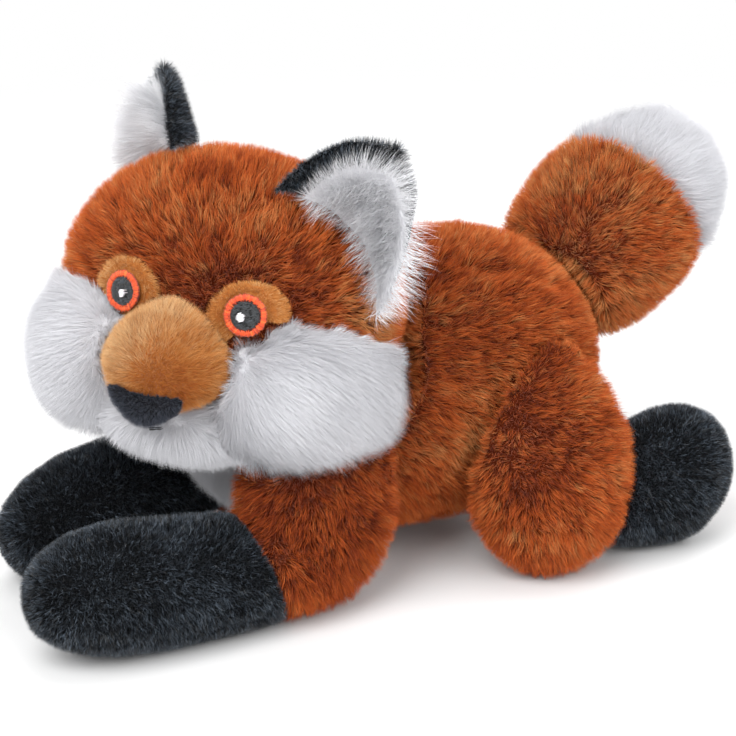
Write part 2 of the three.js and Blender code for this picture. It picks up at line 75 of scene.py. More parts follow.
# Skins
THICK = dict(voxel=1.3, smoothing=6)  # for stuffed parts
THIN = dict(voxel=0.55, smoothing=3)  # for patches
EAR = dict(voxel=0.55, smoothing=14, whole=True)
COVERED_GAP = 2.6  # a surface with another piece nearer above it than this lies in a seam
RAY_STEP = 0.01  # a ray goes on this far behind a face of its own piece
SPREAD_ROUNDS = 8  # how far the open surface's directions run into a seam, in rings of vertices
OPEN_SHARE = 0.6  # with fewer open neighbours than this share, a place takes their direction
SEAM_DRAW = 0.45  # how fast the drawn-in skin comes back out on its way down a seam
THIN_SHARE = 0.35  # a skin is drawn in by no more than this share of the form's thickness
THICK_ENOUGH = 20.0  # a form's thickness is measured up to here
JUST_INSIDE = 0.05
LUMP_SIZE = 17  # the size and height of the stuffing's soft lumps
LUMP_HEIGHT = 0.7
FAR = 1e3  # a distance where there is nothing to measure to
SWIRL_SEED = 1

# Pile
LEAST_FULLNESS = 0.45  # on a thin form, fibres keep this share of their length
FLOW_FLOOR = 0.5  # where the comb points into the skin by more than this, its fibres stand up
ROOT_CLEARANCE = 0.5  # a fibre looks out for other pieces from this far above its root
LENGTHS = (0.72, 1.06)  # the shortest and longest fibre, as shares of the pile
LEAST_LENGTH = 0.3  # the share of its length that a fibre keeps in front of another piece
CLUMPING = (0.3, 1.0)  # the loosest and the tightest fibre of a clump
WIDTHS = (0.7, 1.2)  # the thinnest and the thickest fibre, as shares of the width
TAPER = 0.35
TINTS = (0.02, 0.98)  # the ends of the ramp of tints that are used
UV_MARGIN = 0.01
FACE_AHEAD = 24  # the chin's fur runs away from a place this far ahead of the nose
FLOOR_CLEARANCE = 0.15  # of the lowest fibres
FACES_PER_PIECE = 190000  # a pile with more faces is split
DENSITY_SHARE = 1.0
IN_THE_WAY = ("eye_ring", "pupil", "mouth")  # thread that fibres don't grow through


# Small helpers
def unit(vectors):
    return vectors / np.maximum(np.linalg.norm(vectors, axis=-1, keepdims=True), 1e-9)


def points_of(obj):
    flat = np.empty(len(obj.data.vertices) * 3)
    obj.data.vertices.foreach_get("co", flat)
    return flat.reshape(-1, 3) / MM


def normals_of(mesh):
    flat = np.empty(len(mesh.vertices) * 3)
    mesh.vertex_normals.foreach_get("vector", flat)
    return flat.reshape(-1, 3)


def centre_of(node):
    low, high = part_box(node)
    return (np.array(low) + np.array(high)) / 2 / MM


def link(name, data):
    obj = bpy.data.objects.new(name, data)
    bpy.context.scene.collection.objects.link(obj)
    return obj


def mesh_from(name, points, faces, smooth=True):
    """A mesh from points in millimetres and a list of face arrays, each with faces of one size."""
    mesh = bpy.data.meshes.new(name)
    sizes = np.concatenate([np.full(len(block), block.shape[1]) for block in faces])
    corners = np.concatenate([block.ravel() for block in faces])
    mesh.vertices.add(len(points))
    mesh.vertices.foreach_set("co", (np.asarray(points) * MM).ravel())
    mesh.loops.add(len(corners))
    mesh.loops.foreach_set("vertex_index", corners.astype(np.int32))
    mesh.polygons.add(len(sizes))
    starts = np.concatenate([[0], np.cumsum(sizes)[:-1]])
    mesh.polygons.foreach_set("loop_start", starts.astype(np.int32))
    mesh.polygons.foreach_set("use_smooth", np.full(len(sizes), smooth))
    mesh.update(calc_edges=True)
    return mesh


def set_fibre_uv(mesh, uv):
    """Per-vertex UVs: a fibre's tint across, and the place along it up."""
    corners = np.empty(len(mesh.loops), np.int32)
    mesh.loops.foreach_get("vertex_index", corners)
    layer = mesh.uv_layers.new(name="OFBake")
    layer.data.foreach_set("uv", uv[corners].ravel())


# Node materials
def new_material(name):
    material = bpy.data.materials.new(name)
    material.use_nodes = True
    return material, material.node_tree, material.node_tree.nodes["Principled BSDF"]


def set_inputs(tree, node, inputs):
    """Links the inputs that are given as sockets, and sets the others."""
    for key, value in inputs.items():
        if isinstance(value, bpy.types.NodeSocket):
            tree.links.new(value, node.inputs[key])
        else:
            node.inputs[key].default_value = value


def add_node(tree, kind, inputs=None, **settings):
    node = tree.nodes.new(kind)
    for key, value in settings.items():
        setattr(node, key, value)
    set_inputs(tree, node, inputs or {})
    return node


def linear(colour):
    """An sRGB colour, 0 to 255, as linear light."""
    share = np.array(colour) / 255
    return np.where(share <= 0.04045, share / 12.92, ((share + 0.055) / 1.055) ** 2.4)


def ramp(tree, factor, stops):
    node = add_node(tree, "ShaderNodeValToRGB", {"Fac": factor})
    band = node.color_ramp
    while len(band.elements) < len(stops):
        band.elements.new(0.5)
    for element, (place, colour) in zip(band.elements, stops):
        element.position = place
        element.color = (*linear(colour), 1)
    return node.outputs["Color"]


def strand_colour(tree, tints, painted_shades):
    """Tints run from the darkest strand to the lightest; grey painted shade runs along each strand.
    """
    uv = add_node(tree, "ShaderNodeUVMap", uv_map="OFBake")
    split = add_node(tree, "ShaderNodeSeparateXYZ", {"Vector": uv.outputs["UV"]})
    tint = ramp(tree, split.outputs["X"], list(zip((0.0, 0.5, 1.0), tints)))
    shade = ramp(tree, split.outputs["Y"], [(place, (grey,) * 3) for place, grey in painted_shades])
    colour = add_node(tree, "ShaderNodeVectorMath", {0: tint, 1: shade}, operation="MULTIPLY")
    return colour.outputs["Vector"]


def fibre_material(name, tints, painted_shades, roughness, sheen, specular):
    """Fibres, with painted shade from root to tip: darker roots stand for the shade deep in the
    pile.
    """
    material, tree, shader = new_material(name)
    set_inputs(tree, shader, {
        "Base Color": strand_colour(tree, tints, list(zip((0.0, 0.5, 1.0), painted_shades))),
        "Roughness": roughness,
        "Sheen Weight": sheen,
        "Sheen Roughness": 0.4,
        "Specular IOR Level": specular,
    })
    return material


def backing_material(name, dark, light):
    """Woven backing between the fibres' roots; a backing darker than its pile is painted shade
    where the skin shows through.
    """
    material, tree, shader = new_material(name)
    place = add_node(tree, "ShaderNodeTexCoord")
    cloud = add_node(tree, "ShaderNodeTexNoise",
                     {"Vector": place.outputs["Object"], "Scale": 900.0, "Detail": 4.0})
    bump = add_node(tree, "ShaderNodeBump",
                    {"Height": cloud.outputs["Fac"], "Strength": 0.4, "Distance": 0.0003})
    set_inputs(tree, shader, {
        "Base Color": ramp(tree, cloud.outputs["Fac"], [(0.3, dark), (0.7, light)]),
        "Normal": bump.outputs["Normal"],
        "Roughness": 0.95,
        "Specular IOR Level": 0.1,
    })
    return material


# Ray-casting trees, in millimetres
def tree_of(objects):
    """One tree over several meshes, with the object that each face belongs to."""
    vertices, faces, owners = [], [], []
    for obj in objects:
        start = len(vertices)
        vertices.extend(points_of(obj).tolist())
        faces.extend([start + i for i in polygon.vertices] for polygon in obj.data.polygons)
        owners.extend([obj.name] * len(obj.data.polygons))
    return BVHTree.FromPolygons(vertices, faces), owners


def finder_of(points):
    finder = KDTree(len(points))
    for number, point in enumerate(points):
        finder.insert(point, number)
    finder.balance()
    return finder


def lies_in_seam(point, normal, own_name, tree, owners):
    """Whether another piece lies just above this point of a piece."""
    start, normal = Vector(point), Vector(normal)
    reach = COVERED_GAP
    while reach > 0:
        place, _, face, distance = tree.ray_cast(start, normal, reach)
        if place is None:
            return False
        if owners[face] != own_name:
            return True
        start = place + normal * RAY_STEP
        reach -= distance + RAY_STEP
    return False


# Skins under the pile
def keep_largest(mesh):
    """Takes away the crumbs that a thin edge leaves beside the piece itself."""
    work = bmesh.new()
    work.from_mesh(mesh)
    left = set(work.verts)
    islands = []
    while left:
        island = [left.pop()]
        for vertex in island:
            for edge in vertex.link_edges:
                other = edge.other_vert(vertex)
                if other in left:
                    left.remove(other)
                    island.append(other)
        islands.append(island)
    islands.sort(key=len)
    for island in islands[:-1]:
        bmesh.ops.delete(work, geom=island, context="VERTS")
    work.to_mesh(mesh)
    work.free()


def even_form(node, name, voxel, smoothing, whole=False):
    """The node's form as one even, smoothed mesh."""
    copy = link(name, nodes[node].data.copy())
    copy.data.materials.clear()
    remesh = copy.modifiers.new("even", "REMESH")
    remesh.mode = "VOXEL"
    remesh.voxel_size = voxel * MM
    smooth = copy.modifiers.new("soft", "SMOOTH")
    smooth.iterations = smoothing
    graph = bpy.context.evaluated_depsgraph_get()
    mesh = bpy.data.meshes.new_from_object(copy.evaluated_get(graph))
    copy.modifiers.clear()
    copy.data = mesh
    if whole:
        keep_largest(mesh)
    mesh.polygons.foreach_set("use_smooth", np.ones(len(mesh.polygons), bool))
    return copy


def spread(values, edges, rounds):
    """Values at a mesh's vertices, averaged with their neighbours' a number of times."""
    count = len(values)
    degree = np.bincount(edges.ravel(), minlength=count) + 1.0
    for _ in range(rounds):
        total = values.copy()
        for axis in range(values.shape[1]):
            total[:, axis] += np.bincount(edges[:, 0], values[edges[:, 1], axis], count)
            total[:, axis] += np.bincount(edges[:, 1], values[edges[:, 0], axis], count)
        values = total / degree[:, None]
    return values


# Folds of the stuffed fabric: how deep and how wide, and the places that each runs through
FOLDS = {
    "torso": [
        (2.2, 2.2, [(16, 14, 80), (17.3, 23.7, 77.3), (17.4, 30.8, 75.2), (17.7, 36.4, 72.8),
                    (15, 45, 68)]),
        (2.4, 3.0, [(31.5, 4.5, 54), (32.3, 6.4, 43.6), (31.4, 8.5, 35), (29, 9, 28)]),
        (1.6, 2.6, [(29, 12, 62), (33, 14, 52), (33, 16, 44)]),
    ],
    "head": [
        (1.5, 1.8, [(24, -62, 88), (27, -59, 89.5), (29.8, -53.9, 90.5), (33, -49, 89.5),
                    (36.3, -44, 85)]),
        (1.0, 1.8, [(10, -74, 88), (16, -71, 90), (19, -67, 90)]),
    ],
    "cheek_left": [
        (1.5, 2.6, [(36, -58, 75), (42, -58, 71.5), (46.5, -56, 67)]),
    ],
}


def folds_at(node, points):
    """How far the node's folds draw each point in."""
    total = np.zeros(len(points))
    for deep, wide, places in FOLDS.get(node, []):
        places = np.array(places, float)
        nearest = np.full(len(points), FAR)
        for start, end in zip(places[:-1], places[1:]):
            run = end - start
            share = ((points - start) @ run / (run @ run)).clip(0, 1)[:, None]
            nearest = np.minimum(nearest, np.linalg.norm(points - start - run * share, axis=1))
        total += deep * np.exp(-(nearest / wide) ** 2)
    return total


class Skin:
    """A part's backing: drawn in by what the pile takes where it is open, whole in its seams."""

    def __init__(self, node, coat, tree, owners):
        self.object = even_form(node, node + "_skin", **coat["form"])
        mesh = self.object.data
        points, normals = points_of(self.object), normals_of(mesh)
        own_name = nodes[node].name
        inside = np.array([lies_in_seam(point, normal, own_name, tree, owners)
                           for point, normal in zip(points, normals)])
        self.growth = self.growing_ways(normals, inside)
        self.depth, _ = self.nearest(points, points[~inside])
        self.seam_gap, self.seam_way = self.nearest(points, points[inside])
        self.swirl = np.array([noise.noise_vector(Vector(p / coat["swirl_size"])) for p in points])
        self.shade = np.array([noise.noise(Vector(p / coat["shade_size"])) for p in points])
        drawn_in = self.draw_in(node, coat, points, inside)
        self.fullness = (drawn_in / coat["inset"]).clip(LEAST_FULLNESS, 1)
        self.points = points - self.growth * drawn_in[:, None]
        self.points[:, 2] = np.maximum(self.points[:, 2], FLOOR_CLEARANCE)
        mesh.vertices.foreach_set("co", (self.points * MM).ravel())
        mesh.update()

    def growing_ways(self, normals, inside):
        """The way that fibres grow: out of the surface, and inside a seam as they do beside it."""
        mesh = self.object.data
        edges = np.empty(len(mesh.edges) * 2, np.int32)
        mesh.edges.foreach_get("vertices", edges)
        edges = edges.reshape(-1, 2)
        is_open = (~inside).astype(float)[:, None]
        share = spread(is_open, edges, SPREAD_ROUNDS)
        smooth_way = unit(spread(normals * is_open, edges, SPREAD_ROUNDS) + normals * 1e-6)
        plain_share = ((share - OPEN_SHARE) / (1 - OPEN_SHARE)).clip(0, 1)
        return unit(normals * plain_share + smooth_way * (1 - plain_share))

    def draw_in(self, node, coat, points, inside):
        """How far each point goes in: by the inset and the folds, less in a seam or on a lump."""
        lumps = np.array([noise.noise(Vector(p / LUMP_SIZE)) for p in points])
        lumps = lumps * LUMP_HEIGHT * coat["lumps"]
        drawn_in = (coat["inset"] - self.depth * SEAM_DRAW).clip(0)
        drawn_in += folds_at(node, points) - lumps * (~inside).astype(float)
        return np.minimum(drawn_in, self.thickness(points) * THIN_SHARE)

    def thickness(self, points):
        """How thick the form is under each point."""
        own, _ = tree_of([self.object])
        found = (own.ray_cast(Vector(point - way * JUST_INSIDE), Vector(-way), THICK_ENOUGH)
                 for point, way in zip(points, self.growth))
        return np.array([THICK_ENOUGH if hit[0] is None else hit[3] for hit in found])

    @staticmethod
    def nearest(points, targets):
        """Each point's distance to the nearest target, and the way there."""
        if len(targets) == 0:
            return np.full(len(points), FAR), np.zeros((len(points), 3))
        finder = finder_of(targets)
        found = np.array([finder.find(p)[0] for p in points])
        way = found - points
        return np.linalg.norm(way, axis=1), unit(way)

    def scatter(self, density, seam_depth, rng):
        """Roots spread evenly over the skin, as corner numbers and weights."""
        mesh = self.object.data
        mesh.calc_loop_triangles()
        corners = np.empty(len(mesh.loop_triangles) * 3, np.int32)
        mesh.loop_triangles.foreach_get("vertices", corners)
        corners = corners.reshape(-1, 3)
        a, b, c = (self.points[corners[:, i]] for i in range(3))
        areas = np.linalg.norm(np.cross(b - a, c - a), axis=1) / 2
        areas *= self.depth[corners].min(1) < seam_depth  # none grows deeper in a seam
        count = int(areas.sum() * density)
        steps = (np.arange(count) + rng.random(count)) / count
        faces = np.searchsorted(np.cumsum(areas) / areas.sum(), steps).clip(0, len(areas) - 1)
        chosen = corners[faces]
        r, s = np.sqrt(rng.random(count)), rng.random(count)
        return chosen, np.stack([1 - r, r * (1 - s), r * s], 1)


def at_roots(values, chosen, weights):
    """A skin's values at scattered places."""
    picked = values[chosen]
    return (picked * weights.reshape(weights.shape + (1,) * (picked.ndim - 2))).sum(1)


# Pile
def fibre_ways(skin, coat, spots, growth, flow, rng):
    """Beside a seam the fibres stand up, so that they neither part nor cover their neighbours."""
    seam_way = at_roots(skin.seam_way, *spots)
    near = 1 - (at_roots(skin.seam_gap, *spots) / coat["seam_reach"]).clip(0, 1)
    crossing = np.abs((flow * seam_way).sum(1))
    lean = (1 - coat["stand"]) * (1 - crossing * near * coat["hold"])
    ways = growth * coat["stand"] + flow * lean[:, None]
    ways = ways + seam_way * (near * coat["overlap"])[:, None]
    ways += at_roots(skin.swirl, *spots) * coat["swirl"]
    ways = unit(ways + rng.normal(0, coat["frizz"], growth.shape))
    lift = (ways * growth).sum(1, keepdims=True)
    return unit(ways + growth * np.maximum(coat["least_lift"] - lift, 0))


def fibre_lengths(skin, coat, spots, roots, growth, ways, obstacles, rng):
    """The coat's, but shorter on a thin form and where another piece is in the way."""
    lengths = coat["pile"] * rng.uniform(*LENGTHS, len(roots))
    lengths *= at_roots(skin.fullness, *spots)
    if "trim" in coat:
        lengths *= coat["trim"](roots)
    starts = roots + growth * ROOT_CLEARANCE
    for number, (start, way) in enumerate(zip(starts, ways)):
        length = lengths[number]
        hit = obstacles.ray_cast(Vector(start), Vector(way), length)
        if hit[0] is not None:
            lengths[number] = max(hit[3], LEAST_LENGTH * length)
    return lengths


def clumps_of(roots, coat, rng):
    """Each fibre's clump, as the number of the fibre in the clump's middle."""
    count = len(roots)
    clumps = max(1, int(count / coat["density"] / coat["clump_size"] ** 2))
    middles = rng.choice(count, clumps, replace=False)
    finder = finder_of(roots[middles])
    return middles[[finder.find(p)[1] for p in roots]]


def fibre_tints(skin, coat, spots, roots, clump, rng):
    """Places on the ramp of tints, by fibre, by clump and by broad patch, and by the part's tone,
    which is painted light and shade.
    """
    count = len(roots)
    tint = 0.5 + rng.normal(0, coat["clump_tint"], count)[clump]
    tint = tint + rng.normal(0, coat["tint"], count)
    tint += coat["tone"] + at_roots(skin.shade, *spots) * coat["broad_tint"]
    # Marks of the part's own colour, and on the crown also painted light over the brow
    if "stain" in coat:
        tint += coat["stain"](roots)
    return tint


def grow_pile(skin, coat, comb, obstacles, rng):
    """Fibres over a skin: their points and tints."""
    spots = skin.scatter(coat["density"] * DENSITY_SHARE, coat["seam_depth"], rng)
    roots = at_roots(skin.points, *spots)
    growth = unit(at_roots(skin.growth, *spots))
    count = len(roots)
    flow = comb(roots)
    flow = flow - (flow * growth).sum(1, keepdims=True) * growth * (1 - coat["free"])
    flow /= np.maximum(np.linalg.norm(flow, axis=1, keepdims=True), FLOW_FLOOR)
    ways = fibre_ways(skin, coat, spots, growth, flow, rng)
    lengths = fibre_lengths(skin, coat, spots, roots, growth, ways, obstacles, rng)

    # Each fibre's tip is drawn towards that of its clump
    clump = clumps_of(roots, coat, rng)
    tips = roots + ways * lengths[:, None]
    pull = (tips[clump] - tips) * coat["clump"] * rng.uniform(*CLUMPING, count)[:, None]
    tint = fibre_tints(skin, coat, spots, roots, clump, rng)

    # Ribbons that narrow to a point
    across = unit(np.cross(ways, growth + rng.normal(0, coat["twist"], (count, 3))))
    across *= coat["width"] / 2 * rng.uniform(*WIDTHS, (count, 1))
    bend = flow * coat["droop"] - UP * coat["weight"]
    rows = []
    for step in range(coat["segments"]):
        share = step / coat["segments"]
        middle = roots + (ways * share + bend * share ** 2) * lengths[:, None]
        middle = middle + pull * share ** 1.5
        half = across * (1 - TAPER * share)
        rows += [middle - half, middle + half]
    rows.append(roots + (ways + bend) * lengths[:, None] + pull)
    points = np.stack(rows, 1)
    points[..., 2] = np.maximum(points[..., 2], FLOOR_CLEARANCE)
    tint[rng.random(count) < coat["glint"]] = 1
    return points, tint.clip(*TINTS)


def ribbons(name, points, tint):
    """One mesh of ribbons: pairs of points along each fibre, and its tip."""
    count, per = points.shape[:2]
    segments = (per - 1) // 2
    first = (np.arange(count) * per)[:, None, None]
    quads = np.array([[2 * i, 2 * i + 1, 2 * i + 3, 2 * i + 2] for i in range(segments - 1)])
    quads = (first + quads.reshape(-1, 4)[None]).reshape(-1, 4)
    ends = (first + np.array([[[per - 3, per - 2, per - 1]]])).reshape(-1, 3)
    mesh = mesh_from(name, points.reshape(-1, 3), [quads, ends] if len(quads) else [ends])
    height = np.concatenate([np.repeat(np.arange(segments), 2), [segments]]) / segments
    side = np.concatenate([np.tile([-1.0, 1.0], segments), [0.0]]) * UV_MARGIN
    uv = np.empty((count, per, 2))
    uv[..., 0] = tint[:, None] + side
    uv[..., 1] = height * (1 - 2 * UV_MARGIN) + UV_MARGIN
    set_fibre_uv(mesh, uv.reshape(-1, 2))
    return link(name, mesh)


# Ways to comb: a field that runs away from a point, with a constant drift
def away_from(point, drift=(0, 0, 0), weight=1.0):
    def field(places):
        return unit(places - np.array(point)) * weight + np.array(drift)
    return field


def along(direction):
    def field(places):
        return np.tile(unit(np.array(direction, float)), (len(places), 1))
    return field


# Coats, in millimetres; shares are of 1
RUST = dict(
    form=THICK, inset=2.5, seam_depth=4.6, seam_reach=5.0, lumps=1.0,
    pile=4.6, density=8.5, width=0.13, segments=2, stand=0.85, least_lift=0.4, hold=0.8,
    overlap=0.3, frizz=0.2, swirl=0.42, swirl_size=5, clump=0.6, clump_size=1.6, droop=0.1,
    weight=0.03, twist=0.6, free=0.0, tone=0.0, tint=0.15, clump_tint=0.11, broad_tint=0.3,
    shade_size=14, glint=0.0)
# The rust parts' tones paint light and shade on the one rust plush: the torso and tail lighter, the
# sleeves and thighs darker.
TORSO = dict(RUST, tone=0.02, seam_depth=9.0)
SLEEVE = dict(RUST, tone=-0.22)
THIGH = dict(RUST, seam_depth=12.0, tone=-0.08)
TAIL = dict(RUST, tone=0.14, overlap=0.1)
WHITE = dict(
    RUST, pile=7.0, inset=3.0, density=15.0, width=0.08, stand=0.4, clump=0.07, clump_size=2.4,
    frizz=0.09, swirl=0.09, swirl_size=14, twist=0.05, overlap=0.2, clump_tint=0.03, tint=0.05,
    broad_tint=0.12)
BIB = dict(WHITE, form=THIN, pile=6.0, inset=0.6, lumps=0.0, seam_depth=20.0)
CHIN = dict(WHITE, pile=6.2, inset=2.6, clump=0.2, clump_size=2.0)
TAIL_TIP = dict(WHITE, free=1.0, clump=0.2, clump_size=2.0, swirl=0.28, swirl_size=7, frizz=0.14)
TAN = dict(
    RUST, pile=2.6, inset=1.3, density=20.0, stand=0.7, clump_size=0.9, clump=0.35, width=0.09,
    twist=0.3, segments=1, overlap=0.35, seam_reach=3.0, lumps=0.3, swirl_size=4, tint=0.12,
    clump_tint=0.08)
PATCH = dict(TAN, form=THIN, pile=1.9, inset=0.7, stand=0.5, lumps=0.0)
BLACK = dict(
    RUST, pile=2.1, inset=1.2, density=18.0, segments=1, stand=0.95, clump_size=0.6, clump=0.3,
    frizz=0.34, swirl=0.3, swirl_size=3, width=0.13, twist=1.6, shade_size=10, seam_reach=2.0,
    overlap=0.15, droop=0.0, tint=0.15, clump_tint=0.1, broad_tint=0.14, glint=0.08)
NOSE = dict(
    BLACK, form=THIN, pile=1.6, inset=1.1, density=24.0, width=0.1, lumps=0.0, clump_size=0.5)
EAR_BACK = dict(
    BLACK, form=EAR, pile=3.0, inset=0.9, lumps=0.0, seam_reach=2.0, overlap=0.45, frizz=0.3,
    seam_depth=8.0)
# The lining's tone is painted light, which lifts the hollow lining out of its own shade.
EAR_LINING = dict(
    WHITE, form=EAR, pile=9.5, inset=0.9, density=14.0, lumps=0.0, seam_reach=2.5, stand=0.55,
    hold=0.3, overlap=0.0, frizz=0.18, swirl=0.25, swirl_size=7, clump=0.3, clump_size=1.8,
    tone=0.38)


# Places with a look of their own
def spot(roots, place, size):
    """1 at a place, and less with the distance from it."""
    return np.exp(-((roots - place) ** 2).sum(1) / (2 * size ** 2))


def stained_muzzle(muzzle):
    """Deeper orange low on the muzzle's left, and paler on its bridge."""
    stain, bridge = muzzle + (12, -3, -3), muzzle + (2, -5, 10)
    return lambda roots: 0.12 + 0.3 * spot(roots, bridge, 11.0) - 0.55 * spot(roots, stain, 5.5)


def tufted_head_lit_brow():
    """A golden tuft below the left ear, and painted light over the brow, which lifts the shade that
    falls there.
    """
    tuft, lit_brow = np.array((38.5, -22, 76)), np.array((30, -55, 92))
    return lambda roots: 0.5 * spot(roots, tuft, 5.0) + 0.08 * spot(roots, lit_brow, 13.0) - 0.04


def outer_place(word):
    """The way to the ear's outer rim, and how far out a place is, from -1 to 1."""
    joints = frame["record"]["behaviour"]["joints"]
    joint = next(j for j in joints if j["name"] == "ear_fold_" + word)
    outwards = unit(np.array(joint["axis"], float))
    points = points_of(nodes["ear_lining_" + word]) @ outwards
    middle, half = (points.min() + points.max()) / 2, np.ptp(points) / 2
    return outwards, lambda roots: ((roots @ outwards - middle) / half).clip(-1, 1)


def ear_coats(word, foot):
    """The lining's fur is longer and leans out towards the outer rim, where the back's is short."""
    outwards, place = outer_place(word)

    def lining_comb(roots):
        share = ((place(roots) + 0.6) / 1.6).clip(0, 1)[:, None]
        return unit(roots - foot) * (1 - 0.7 * share) + outwards * (0.2 + 1.3 * share)

    def back_trim(roots):
        return 1.0 - 0.85 * ((place(roots) - 0.2) / 0.4).clip(0, 1)

    lining = dict(EAR_LINING, trim=lambda roots: 1.0 + 0.15 * place(roots))
    back = dict(EAR_BACK, trim=back_trim)
    return (back, "black_plush", away_from(foot)), (lining, "white_plush", lining_comb)


def cheek_coat(word, muzzle):
    """Short fur beside the muzzle and longer fur further out, combed sideways and down."""
    ahead = centre_of("nose") - centre_of("head")
    side = unit(np.cross(UP, ahead)) * (1 if word == "left" else -1)
    lie = unit(side - UP * 0.7)

    def far(roots, start, reach):
        return ((np.linalg.norm(roots - muzzle, axis=1) - start) / reach).clip(0, 1)

    def trim(roots):
        return 0.6 + 0.4 * far(roots, 16, 16) + 0.3 * far(roots, 34, 16)

    def comb(roots):
        return lie * (0.1 + 0.9 * far(roots, 14, 14))[:, None]

    return dict(WHITE, free=0.35, overlap=0.35, trim=trim), "white_plush", comb


# Each plush's backing, dark and light, and its pile: the tints of its fibres, their painted shade
# from root to tip, and their roughness, sheen and specular level
PLUSH = {
    "rust": ((74, 26, 8), (98, 38, 14),
             ((148, 57, 21), (224, 110, 44), (236, 170, 104)), (146, 226, 255), 0.7, 0.12, 0.2),
    "white": ((222, 222, 226), (230, 230, 233),
              ((202, 202, 206), (213, 213, 217), (250, 250, 252)), (246, 253, 255), 0.8, 0.1, 0.15),
    # The black pile's lightest tint, a bluish grey, is painted glint on the fibres picked by the
    # coat's glint share.
    "black": ((8, 9, 11), (14, 16, 19),
              ((4, 5, 6), (8, 10, 12), (140, 154, 170)), (150, 225, 255), 0.3, 0.06, 0.7),
    "tan": ((150, 86, 38), (180, 112, 56),
            ((180, 92, 28), (218, 148, 78), (240, 200, 148)), (205, 240, 255), 0.7, 0.12, 0.2),
    "nose": ((14, 14, 17), (24, 24, 29),
             ((35, 37, 45), (62, 66, 78), (100, 106, 120)), (180, 235, 255), 0.6, 0.15, 0.3),
}


def coat_materials():
    """Each slot's backing and fibres."""
    return {
        name + "_plush": (backing_material(name + "_backing", dark, light),
                          fibre_material(name + "_pile", *pile))
        for name, (dark, light, *pile) in PLUSH.items()
    }


def all_coats():
    """Which coat each stuffed part has, its material slot, and how it is combed."""
    nose, muzzle, torso = centre_of("nose"), centre_of("muzzle"), centre_of("torso")
    face = nose + unit(nose - centre_of("head")) * FACE_AHEAD
    tailwards = along(centre_of("tail_tip") - centre_of("tail"))
    crown = dict(RUST, stand=0.75, seam_depth=9.0, stain=tufted_head_lit_brow())
    coats = {
        "torso": (TORSO, "rust_plush", away_from(torso + (0, -70, 0), (0, 0.7, -0.1))),
        "chest_bib": (BIB, "white_plush", along((0, -0.3, -1))),
        "head": (crown, "rust_plush", away_from(nose, (0, 0, 0.1))),
        "muzzle": (dict(TAN, stain=stained_muzzle(muzzle)), "tan_plush", away_from(nose)),
        "chin": (CHIN, "white_plush", away_from(face, (0, 0, -0.4))),
        "nose": (NOSE, "nose_plush", away_from(nose, (0, 0, -0.4))),
        "tail": (TAIL, "rust_plush", tailwards),
        "tail_tip": (TAIL_TIP, "white_plush", tailwards),
    }
    for word in ("left", "right"):
        ear_low, ear_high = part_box("ear_back_" + word)
        ear_foot = (np.array(ear_low) + np.array(ear_high)) / 2 / MM
        ear_foot[2] = ear_low[2] / MM
        coats["front_upper_leg_" + word] = (SLEEVE, "rust_plush", along((0, -0.5, -1)))
        coats["front_paw_" + word] = (BLACK, "black_plush", along((0, -1, -0.3)))
        coats["thigh_" + word] = (THIGH, "rust_plush", along((0, 0.6, -1)))
        coats["hind_foot_" + word] = (BLACK, "black_plush", along((0, 1, 0)))
        coats["cheek_" + word] = cheek_coat(word, muzzle)
        coats["eye_patch_" + word] = (PATCH, "tan_plush", away_from(centre_of("pupil_" + word)))
        coats["ear_back_" + word], coats["ear_lining_" + word] = ear_coats(word, ear_foot)
    return coats


def body_of(node):
    bodies = frame["record"]["behaviour"]["bodies"]
    return next(body for body, members in bodies.items() if node in members)


def dress():
    """Every stuffed part's skin and pile."""
    noise.seed_set(SWIRL_SEED)  # without it, the clock seeds the noise vectors of the swirl
    materials = coat_materials()
    coats = sorted(all_coats().items())
    tree, owners = tree_of(list(nodes.values()))
    skins = {node: Skin(node, coat, tree, owners) for node, (coat, _, _) in coats}
    threads = [obj for name, obj in nodes.items() if name.startswith(IN_THE_WAY)]
    obstacles, _ = tree_of([skin.object for skin in skins.values()] + threads)
    total = 0
    for number, (node, (coat, slot, comb)) in enumerate(coats):
        skin = skins[node].object
        backing, fibres = materials[slot]
        skin.data.materials.append(backing)
        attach(skin, body_of(node))
        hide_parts(node)
        rng = np.random.default_rng(number)
        points, tint = grow_pile(skins[node], coat, comb, obstacles, rng)
        total += len(tint)
        strands = FACES_PER_PIECE // (2 * coat["segments"] - 1)
        for part, start in enumerate(range(0, len(tint), strands)):
            share = slice(start, start + strands)
            pile = ribbons(f"{node}_pile_{part + 1}", points[share], tint[share])
            pile.data.materials.append(fibres)
            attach(pile, body_of(node))
    print("fibres", total)


# Stitched thread, in millimetres
THREAD_WIDTH = 0.36
THREAD_CROWN = 0.22  # how high a stitch's middle stands
THREAD_DIP = 0.3  # its ends dive by this share of that
THREAD_TAPER = 0.45
THREAD_FLATNESS = 0.8
THREAD_TINT = 0.18  # how much the stitches' tints differ
STITCH_STEPS, STITCH_SIDES = 7, 6  # rings along a stitch, and corners round it
LEAST_STEPS = 3  # a stitch with fewer steps on the ground is left out
LAYING_HEIGHT = 6.0  # stitches are laid on the ground from this far above it
RING_STITCHES = 96
RING_TRIM = 0.7  # the eye ring's stitches end this far inside the node's rim
PUPIL_TRIM = 0.2
HIGHLIGHT_SHARE = 0.62
HIGHLIGHT_CROWN = 0.3
LEAST_STITCH = 0.3  # a row leaves out a last stitch that is shorter
STITCH_LAP = 0.08  # how far a stitch runs into the next one of its row
STITCH_WOBBLE = 0.05
BASE_SHARE = 0.84  # a stitched piece's base is this much narrower, and lower by the sink
BASE_SINK = 0.15
BASE_FORM = dict(voxel=0.3, smoothing=1)


